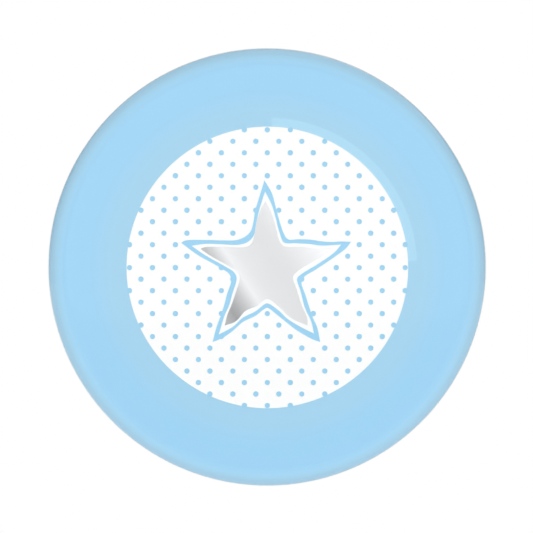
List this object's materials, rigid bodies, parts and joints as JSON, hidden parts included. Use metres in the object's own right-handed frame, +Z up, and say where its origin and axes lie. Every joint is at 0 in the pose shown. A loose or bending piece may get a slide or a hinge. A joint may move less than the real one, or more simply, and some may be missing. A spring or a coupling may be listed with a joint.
{
  "type": "pin badge",
  "caption": "Round domed button badge: printed picture under clear film on a tinplate shell, with a swivelling safety pin behind.",
  "frame": {"origin": "on the badge's axis, in the plane of the back plate's flat land", "axes": "+Y out of the back, towards the wearer's garment; -Y out of the picture; +Z up as worn; +X to the right as the picture is seen"},
  "size_m": [0.058, 0.0068, 0.058],
  "materials": {
    "clear_film": "clear gloss",
    "printed_paper": "printed",
    "silver_foil": "bright foil",
    "tinplate_shell": "tin-plated",
    "tinplate_back": "tin-plated",
    "pin_wire": "nickel-plated",
    "clasp_sheet": "nickel-plated"
  },
  "bodies": {
    "badge": {"clear_film": "clear_film", "printed_paper": "printed_paper", "foil_star": "silver_foil", "front_shell": "tinplate_shell", "back_plate": "tinplate_back"},
    "pin_frame": {"pin_spine": "pin_wire", "spring_coil": "pin_wire", "pin_clasp": "clasp_sheet"},
    "needle": {"pin_needle": "pin_wire"}
  },
  "joints": [
    {"name": "pin_swivel", "type": "hinge", "parent": "badge", "child": "pin_frame", "pos_m": [0, -0.0011, 0.005], "axis": [1, 0, 0], "range_deg": [0, 90]},
    {"name": "needle_open", "type": "hinge", "parent": "pin_frame", "child": "needle", "pos_m": [-0.0168, 0.00055, 0.003], "axis": [0, 1, 0], "range_deg": [0, 35], "deforming": ["spring_coil"]}
  ]
}
